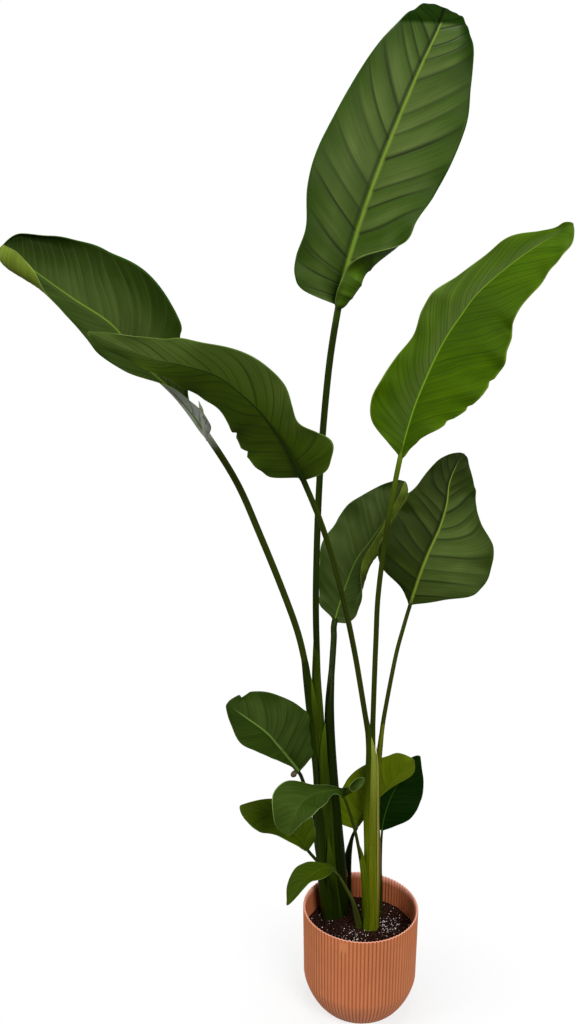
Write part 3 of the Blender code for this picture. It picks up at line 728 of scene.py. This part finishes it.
def make_blade(leaf, seed):
    length = line_length([leaf.petiole[-1], *leaf.midrib])
    veins = round(length / leaf.spacing)
    columns = 2 * (COLUMNS if length > LONG_BLADE else SHORT_COLUMNS)
    rows = veins * max(FEWEST_ROWS, round(leaf.spacing / ROW_STEP))
    mesh = shaped_grid(f"blade_{leaf.name}", columns, rows, blade_shape(leaf, veins, seed))
    upper = leaf_finish(f"{leaf.name}_upper", GREENS[leaf.upper], leaf.gloss, GREENS.get(leaf.tip),
                        dull_tip=bool(leaf.tip))
    lower = leaf_finish(f"{leaf.name}_lower", GREENS[leaf.lower], leaf.gloss, GREENS.get(leaf.base), "base",
                        leaf.lower not in ("rolled", "turned"), dull_tip=bool(leaf.tip))
    edge = plain_finish(f"{leaf.name}_edge", *EDGE_TONES, 0.5, 80.0)
    give_thickness(add_piece(f"leaf_blade_{leaf.name}", mesh, [upper, lower, edge],
                             f"blade_{leaf.name}"))


def tube_shape(stations, radii, flat=1.0, channel=0.0, towards=(0.0, -1.0, 0.0), pale=(0.0, 0.0)):
    """Tube along a smooth line: flat is its thickness over its width, towards the way its channel looks."""
    length = line_length(stations)

    def shape(u, v):
        place, slope = smooth(stations, v)
        ahead = unit(slope)
        size = smooth(radii, v)[0]
        front = np.broadcast_to(np.array(towards, float), place.shape)
        front = unit(front - ahead * np.sum(front * ahead, axis=-1, keepdims=True))
        right = np.cross(ahead, front)
        turn = 2 * math.pi * u
        dip = 1 - channel * np.exp(-(np.angle(np.exp(1j * turn)) / 0.5) ** 2)
        points = place + front * (np.cos(turn) * dip * flat * size)[..., None]
        points += right * (np.sin(turn) * size)[..., None]
        paled = np.clip(smooth(pale, v)[0], 0, 1)
        return points, {"stalk": np.stack([u, v * length, np.zeros_like(u)], axis=-1), "pale": paled}

    return shape


def make_petiole(leaf):
    """Petiole, then the midrib that carries the blade and thins out under it towards the tip."""
    along = np.linspace(0, 1, 6 * (len(leaf.petiole) - 2) + 1)
    line, _ = spine(leaf, 0, along)
    out = np.linspace(0.02, 0.97, 8 * len(leaf.midrib))
    rib, _, up = midrib_frame(leaf, out)
    rib_radii = between(leaf.radii[-1], leaf.rib, fade(out, 0, 0.35)) * (0.9 * (1 - out) ** 0.8 + 0.08)
    sink = rib_radii * (0.5 + 0.4 * fade(out, 0, 0.04)) + 0.0002
    line = np.concatenate([leaf.petiole[:1], line, rib - up * sink[:, None]])
    radii = [leaf.radii[0], *smooth(leaf.radii, along)[0], *rib_radii]
    pale = fade(np.arange(len(line)), len(along) - leaf.joint, len(along))
    shape = tube_shape(line, radii, channel=0.10, towards=leaf.faces[0], pale=pale)
    mesh = shaped_grid(f"petiole_{leaf.name}", 20, 3 * len(line), shape)
    close_up(mesh)
    dark, light, _ = STALKS[leaf.stalk]
    finish = stalk_finish(f"{leaf.name}_stalk", dark, light, GREENS[leaf.joint_tone or leaf.lower][3])
    add_piece(f"leaf_stalk_{leaf.name}", mesh, [finish], f"petiole_{leaf.name}", 60)


def make_funnel():
    """Margin of the young front leaf curled into a small funnel beside the fold."""
    mouth, neck = np.array([-0.0134, -0.042, 0.4765]), np.array([-0.0375, -0.033, 0.4490])
    wide = 0.0165 * unit(np.array([0.766, 0.139, 0.628]))
    high = 0.0082 * unit(np.array([-0.643, 0.166, 0.748]))

    def shape(u, v):
        turn = math.radians(-170) + math.radians(350) * u
        size = between(1.0, 0.28, v ** 0.7)
        points = between(mouth, neck, v[..., None])
        points += wide * (size * np.cos(turn))[..., None] + high * (size * np.sin(turn))[..., None]
        marks = dict.fromkeys(("groove_line_and_shade", "rib"), np.zeros_like(u))
        marks["veins"] = np.stack([0.1 * u, 0.03 * v, np.zeros_like(u)], axis=-1)
        marks["rim"] = (v < 0.05).astype(float)
        # Painted sheen on one side round the funnel and painted shade on the other.
        marks["tone"] = 0.5 * np.cos(turn + 0.8)
        return points, marks

    mesh = shaped_grid("young_front_funnel", 40, 18, shape)
    outer = leaf_finish("funnel_outer", GREENS["shaded"], 0.1)
    inner = leaf_finish("funnel_inner", GREENS["young"], 0.1, roughness=0.45)
    finishes = [inner, outer, outer]
    give_thickness(add_piece("young_front_funnel", mesh, finishes, "blade_young_front"))


# ------------ stems

LEFT_STEM = "left_stem", "dark_stem"        # node and slot
RIGHT_STEM = "right_stem", "pale_stem"

SHEATHS = [
    Sheath("left_front", *LEFT_STEM, "dark",
        ((-56, 42, 125, 15), (-58.6, 42, 149, 14.3), (-69.4, 42, 261, 14.1), (-75.9, 42, 360, 11.9),
         (-82.8, 42, 456, 9), (-93.5, 43, 550, 8.2), (-98.5, 40, 600, 8.2), (-103, 36, 643, 7.8),
         (-107.5, 31, 680, 6.4), (-111.8, 29, 700, 5)), 0.9),
    Sheath("left_middle", *LEFT_STEM, "middling",
        ((-44, 48, 125, 22), (-46.4, 48, 150, 21.7), (-56.3, 47, 262, 18.5), (-63.1, 44, 361, 16.3),
         (-70.6, 43, 457, 13.3), (-79, 42, 530, 11.2), (-82.5, 42, 580, 10.2), (-86, 43, 644, 8.5),
         (-86.5, 44, 690, 6.8), (-87, 45, 722, 5)), 0.75),
    Sheath("left_right", *LEFT_STEM, "shadowed",
        ((-32, 52, 125, 15), (-33.1, 52, 144, 14.8), (-40.3, 50, 257, 14.7), (-47.7, 48, 356, 12.5),
         (-55.5, 47, 453, 11.2), (-60, 47, 530, 10), (-60.8, 50, 590, 8.6), (-57.5, 68, 638, 6.4),
         (-55.2, 84, 660, 4.8)), 1.1),
    Sheath("left_wing", *LEFT_STEM, "middling",
        ((-80, 40, 500, 6), (-85, 36, 560, 7), (-90.5, 35, 600, 5.8), (-96.5, 34, 640, 3.4),
         (-102, 33, 672, 0.5)), 0.5, (0, 0, 0.2, 0.7, 1)),
    Sheath("left_wedge", *LEFT_STEM, "middling",
        ((-62, 40, 300, 8), (-66, 35, 380, 8.5), (-70.5, 31, 450, 8.5), (-72.2, 31, 500, 7.2),
         (-71.2, 33, 535, 4.2), (-69.5, 36, 560, 0.5)), 0.5, (0, 0, 0, 0.15, 0.4, 0.7)),
    Sheath("left_low_wedge", *LEFT_STEM, "dark",
        ((-48, 34, 130, 10), (-52, 32, 200, 10), (-57, 29, 270, 7.8), (-59, 28, 300, 4.6),
         (-62.5, 31, 330, 0.5)), 0.5, (0, 0, 0.4, 0.7, 0.7)),
    Sheath("right_arching", *RIGHT_STEM, "lower",
        ((13, 10, 125, 9), (13, 10, 150, 9), (13.5, 9, 232, 9.5), (14.5, 9, 306, 9), (11.8, 9, 378, 8.4),
         (11.8, 7, 450, 8), (12.2, 5, 510, 6.8), (8.8, 2, 555, 5.8), (2.5, -5, 592, 4.3)),
        1.2, (0.8, 0.8, 0.9, 0.9, 0.5, 0.1, 0, 0, 0)),
    Sheath("right_upright", *RIGHT_STEM, "middling",
        ((20, 16, 300, 8), (19, 17, 400, 7.5), (18, 17, 480, 6.8), (17.6, 16, 540, 5.8),
         (17.8, 13, 590, 4.3)), 1),
    Sheath("right_outer", *RIGHT_STEM, "browned",
        ((29.5, 11, 125, 8), (29.5, 11, 150, 8), (30.2, 11, 232, 8), (30.2, 11, 306, 7.6),
         (27.8, 10, 378, 6.2), (28.4, 9, 450, 5.8), (29.8, 8, 500, 5.5), (32.5, 9, 535, 4.8),
         (36.8, 19, 566, 3.4)), 1.3, (0, 0.3, 0.8, 1, 0.6, 0, 0, 0, 0)),
    Sheath("right_pale", *RIGHT_STEM, "straw",
        ((22.5, 9, 125, 15), (22, 8, 150, 14.4), (21.6, 6, 225, 12.2), (20.8, 4, 300, 9.8),
         (20.3, 2, 378, 7.8), (20.3, 1, 450, 7.4), (19.5, 1, 500, 6.2), (16.5, 0, 530, 4),
         (11.8, -1, 556, 0.4)), 0.95, (0, 0, 0, 0, 0.1, 0.4, 0.6, 0.8, 1)),
    Sheath("right_pale_edge", *RIGHT_STEM, "straw",
        ((33, -1, 180, 1.2), (31.5, -2, 260, 1.8), (30, -3, 340, 1.8), (28.5, -3, 420, 1.6),
         (26.8, -3, 490, 1.4), (23.5, -2, 530, 0.4)), 0.6, (0.4, 0.8, 1, 1, 1, 1)),
    Sheath("right_young", *RIGHT_STEM, "light",
        ((14, 4, 125, 9), (14, 2, 150, 8.8), (10.5, 0, 219, 8), (5, -3, 275, 6.6), (-1.5, -4, 310, 5),
         (-7.5, -12, 335, 2.9)), 0.9),
    Sheath("dry_shoot_tip", "petiole_young_bright", "leaf_stalk", "dry",
        ((-24, 70, 215, 4), (-24.5, 69, 232, 3), (-26.2, 68, 246, 0.5)), 0.3),
    Sheath("bud_nub", "petiole_young_left", "leaf_stalk", "nub",
        ((-121, 4, 474, 2), (-125, 3, 475, 5.2), (-129, 2, 472, 5.6), (-132.5, 2, 469, 3)), 0.9),
    Sheath("ragged_scrap", "petiole_far_left", "leaf_stalk", "ragged",
        ((-277, -10, 1098, 1), (-279.5, -12, 1118, 4.2), (-284, -12, 1136, 2.2), (-285, -11, 1150, 3.4),
         (-289.5, -10, 1166, 0.5)), 0.3),
]


def make_sheath(sheath):
    shape = tube_shape(sheath.line[:, :3], sheath.line[:, 3], sheath.depth, pale=sheath.pale)
    mesh = shaped_grid(f"{sheath.name}_sheath", 32, 10 * len(sheath.line), shape)
    close_up(mesh)
    finish = stalk_finish(f"{sheath.name}_skin", *STALKS[sheath.tone])
    add_piece(sheath.name, mesh, [finish], sheath.node, 60)


# ------------ pot and soil

# The pot's profile is a list of points: radius, height and the ribs' depth there.
LIP = [(POT_RADIUS - inset, POT_HEIGHT - drop, RIB_DEPTH) for inset, drop in (
    (0, 0.0016), (0, 0.0008), (0.0005, 0.0001), (0.0012, 0), (0.0020, 0.0002), (0.0026, 0.0010))]


def foot_curve(part, bottom):
    """Radius and height on the curve from the shoulder, part 1, down to the foot's edge, part 0."""
    turn = 0.5 * math.pi * (1 - part)
    out, down = math.cos(turn) ** (2 / ROUNDING), math.sin(turn) ** (2 / ROUNDING)
    return between(FOOT_RADIUS, SHOULDER_RADIUS, out), between(SHOULDER_HEIGHT, bottom, down)


def outer_profile():
    """From the middle of the foot's underside up to the lip."""
    points = [(radius, 0, 0) for radius in (0, 0.5 * FOOT_RADIUS, FOOT_RADIUS - 0.004, FOOT_RADIUS)]
    for ring in range(1, SHOULDER_RINGS + 1):
        radius, height = foot_curve(ring / SHOULDER_RINGS, 0)
        points.append((radius, height, RIB_DEPTH * min(1, height / 0.006)))
    for ring in range(1, WALL_RINGS):
        part = ring / WALL_RINGS
        height = between(SHOULDER_HEIGHT, POT_HEIGHT - 0.0020, part)
        points.append((between(SHOULDER_RADIUS, POT_RADIUS, part), height, RIB_DEPTH))
    return points


def inner_profile():
    """From the lip down to the middle of the pot's floor."""
    points = []
    for ring in range(1, 12):
        part = ring / 11
        height = between(POT_HEIGHT - 0.001, SHOULDER_HEIGHT, part)
        points.append((between(POT_RADIUS, SHOULDER_RADIUS, part) - WALL, height, RIB_DEPTH))
    for ring in range(1, 8):
        radius, height = foot_curve(1 - ring / 8, FLOOR)
        points.append((radius - WALL, height, RIB_DEPTH * (1 - ring / 8)))
    return points + [(radius, FLOOR, 0) for radius in (FOOT_RADIUS - WALL, 0.5 * FOOT_RADIUS, 0)]


def make_pot():
    outside = outer_profile()
    profile = np.array(outside + LIP + inner_profile())
    lip, inside = len(outside), len(outside) + len(LIP)

    def shape(u, v):
        index = np.rint(v * (len(profile) - 1)).astype(int)
        radius, height, ribbed = (profile[index, column] for column in range(3))
        turn = 2 * math.pi * u
        rib = np.abs(np.sin(0.5 * RIBS * turn)) ** 0.8
        aside = np.abs(np.angle(np.exp(1j * (turn - PATCH_TURN))))
        drop = POT_HEIGHT - height
        patch = fade(aside, PATCH_HALF_TURN, PATCH_HALF_TURN - 0.012) * (index <= lip)
        patch *= fade(drop, PATCH_HEIGHT, PATCH_HEIGHT - 0.0012) * fade(drop, 0.0022, 0.0034)
        reach = radius - ribbed * (1 - rib) * (1 - patch) - 0.0004 * patch
        marks = {
            # the grooves between the ribs, for their painted shade
            "groove_line_and_shade": (1 - rib) * (ribbed > 0) * (1 - patch),
            # the top of the lip, for its painted highlight
            "rim": ((index >= lip + 2) & (index < inside)).astype(float),
            # the inner wall, for its painted shade
            "inside": (index >= inside).astype(float),
        }
        return np.stack([reach * np.cos(turn), reach * np.sin(turn), height], axis=-1), marks

    mesh = shaped_grid("pot_wall", RIBS * RIB_FACES, len(profile) - 1, shape)
    close_up(mesh)
    finish = Finish("pot_plastic", 0.5)
    place = finish.place()
    mottle = finish.noise(place, 30.0, 4.0, 0.6)
    colour = finish.blend(finish.ramp(mottle, 0.3, 0.7), (0.70, 0.232, 0.086), (0.78, 0.262, 0.100))
    # Painted shade in the grooves between the ribs.
    colour = finish.blend(finish.maths("MULTIPLY", finish.mark("groove_line_and_shade"), 0.8), colour, (0.34, 0.078, 0.024))
    # Painted shade on the inner wall.
    colour = finish.blend(finish.maths("MULTIPLY", finish.mark("inside"), 0.4), colour, (0.30, 0.070, 0.024))
    # Painted highlight, pale pink, on the top of the lip.
    finish.shade("Base Color", finish.blend(finish.mark("rim"), colour, (0.90, 0.42, 0.30)))
    finish.bump(finish.noise(place, 900.0, 2.0), 0.0001, 0.3)
    add_piece("ribbed_pot", mesh, [finish.material], "pot", 50)


def soil_height(x, y):
    lumps = 0.0025 * noise.noise((x * 45, y * 45, 1.3)) + 0.0016 * noise.noise((x * 140, y * 140, 4.1))
    return SOIL_TOP + 0.0015 + lumps + 0.0009 * noise.noise((x * 400, y * 400, 9.7))


def make_soil():
    """Uneven top, then a side that draws in towards the pot's foot, and a closed underside."""
    rings = TOP_RINGS + SIDE_RINGS + FOOT_RINGS

    def shape(u, v):
        ring = v * rings
        turn = 2 * math.pi * u
        below = fade(ring, TOP_RINGS, TOP_RINGS + SIDE_RINGS)
        radius = SOIL_RADIUS * np.minimum(ring / TOP_RINGS, 1) - 0.034 * below ** 2
        foot = SOIL_RADIUS * 0.7 * np.clip((rings - ring) / FOOT_RINGS, 0, 1)
        radius = np.where(ring > TOP_RINGS + SIDE_RINGS, foot, radius)
        x, y = radius * np.cos(turn), radius * np.sin(turn)
        height = between(np.vectorize(soil_height)(x, y), SOIL_FOOT, below)
        return np.stack([x, y, height], axis=-1), {}

    mesh = shaped_grid("soil_bed", 220, rings, shape)
    close_up(mesh)
    finish = Finish("soil_mix", 0.95)
    finish.shade("Specular IOR Level", 0.02)
    crumbs = finish.noise(finish.place(), 260.0, 5.0, 0.7)
    colour = finish.blend(finish.ramp(crumbs, 0.38, 0.80), (0.005, 0.002, 0.001), (0.062, 0.024, 0.016))
    finish.shade("Base Color", colour)
    finish.bump(crumbs, 0.002, 0.8)
    add_piece("soil_bed", mesh, [finish.material], "potting_soil")


def scatter(name, count, smallest, largest, finish, seed, clusters=()):
    """Rough grains lying on the soil, as one piece; clusters are (x, y, spread, count)."""
    chance = np.random.default_rng(seed)
    radius = 0.101 * np.sqrt(chance.uniform(0, 1, count))
    turn = chance.uniform(0, 2 * math.pi, count)
    places = [np.stack([radius * np.cos(turn), radius * np.sin(turn)], axis=-1)]
    places += [chance.normal((x, y), spread, (number, 2)) for x, y, spread, number in clusters]
    bm = bmesh.new()
    for x, y in np.concatenate(places):
        if math.hypot(x, y) > 0.102:
            continue
        size = chance.uniform(smallest, largest)
        grain = bmesh.ops.create_icosphere(bm, subdivisions=1, radius=size)["verts"]
        proportions = Vector(chance.uniform(0.7, 1.3, 3)) * Vector((1, 1, 0.7))
        for vert in grain:
            vert.co = vert.co * proportions * chance.uniform(0.75, 1.2)
            vert.co += Vector((x, y, soil_height(x, y) + size * 0.3))
    add_piece(name, finished_mesh(bm, name), [finish])


def make_soil_grains():
    white = plain_finish("perlite", (0.62, 0.59, 0.57), (0.85, 0.82, 0.80), 0.9, 600.0)
    bark = plain_finish("bark_crumb", (0.003, 0.001, 0.0005), (0.055, 0.022, 0.014), 0.95, 300.0)
    scatter("perlite_grains", 170, 0.0005, 0.0014, white, 3,
            ((0.052, 0.012, 0.015, 90), (-0.030, -0.040, 0.022, 70), (-0.008, -0.014, 0.010, 40)))
    scatter("bark_crumbs", 700, 0.001, 0.0032, bark, 5)


# ------------ studio

def make_floor():
    """Pale floor that takes the plant's soft shade near the pot and fades out further away."""
    bm = bmesh.new()
    bmesh.ops.create_grid(bm, x_segments=1, y_segments=1, size=3)
    floor = new_object("floor", finished_mesh(bm, "floor"))
    paint = Finish("floor_paint", 0.9)
    place = paint.place()
    paint.shade("Base Color", paint.blend(paint.noise(place, 3.0), (0.90, 0.90, 0.90), (0.93, 0.93, 0.93)))
    away = paint.add("VectorMath", {0: place}, operation="LENGTH").outputs["Value"]
    near = paint.add("MapRange", {"Value": away, "From Min": 0.40, "From Max": 0.05, "To Max": 0.30},
                     interpolation_type="SMOOTHSTEP")
    paint.shade("Alpha", near.outputs["Result"])
    floor.data.materials.append(paint.material)


def light_studio():
    """White surroundings that light the plant less than they show, and soft lamps."""
    world = bpy.data.worlds.new("studio")
    world.use_nodes = True
    backdrop = world.node_tree.nodes["Background"]
    backdrop.inputs["Color"].default_value = (1, 1, 1, 1)
    sight = world.node_tree.nodes.new("ShaderNodeLightPath")
    level = world.node_tree.nodes.new("ShaderNodeMapRange")
    level.inputs["To Min"].default_value = 0.2
    level.inputs["To Max"].default_value = 1.0
    world.node_tree.links.new(sight.outputs["Is Camera Ray"], level.inputs["Value"])
    world.node_tree.links.new(level.outputs["Result"], backdrop.inputs["Strength"])
    bpy.context.scene.world = world
    bpy.context.scene.view_settings.view_transform = "Standard"
    for name, where, size, power in LAMPS:
        lamp = bpy.data.lights.new(name, "AREA")
        lamp.size = size
        lamp.energy = power
        light = new_object(name, lamp)
        light.location = where
        light.rotation_euler = (Vector(LIT_POINT) - Vector(where)).to_track_quat("-Z", "Y").to_euler()


def place_camera():
    camera = new_object("camera", bpy.data.cameras.new("camera"))
    camera.data.lens = LENS
    camera.location = CAMERA_PLACE
    camera.rotation_euler = (math.radians(90 - CAMERA_TILT), 0, 0)
    bpy.context.scene.camera = camera


def main():
    make_floor()
    light_studio()
    place_camera()
    make_pot()
    make_soil()
    make_soil_grains()
    for seed, leaf in enumerate(LEAVES, 1):
        make_petiole(leaf)
        make_blade(leaf, seed)
    for sheath in SHEATHS:
        make_sheath(sheath)
    make_funnel()


main()
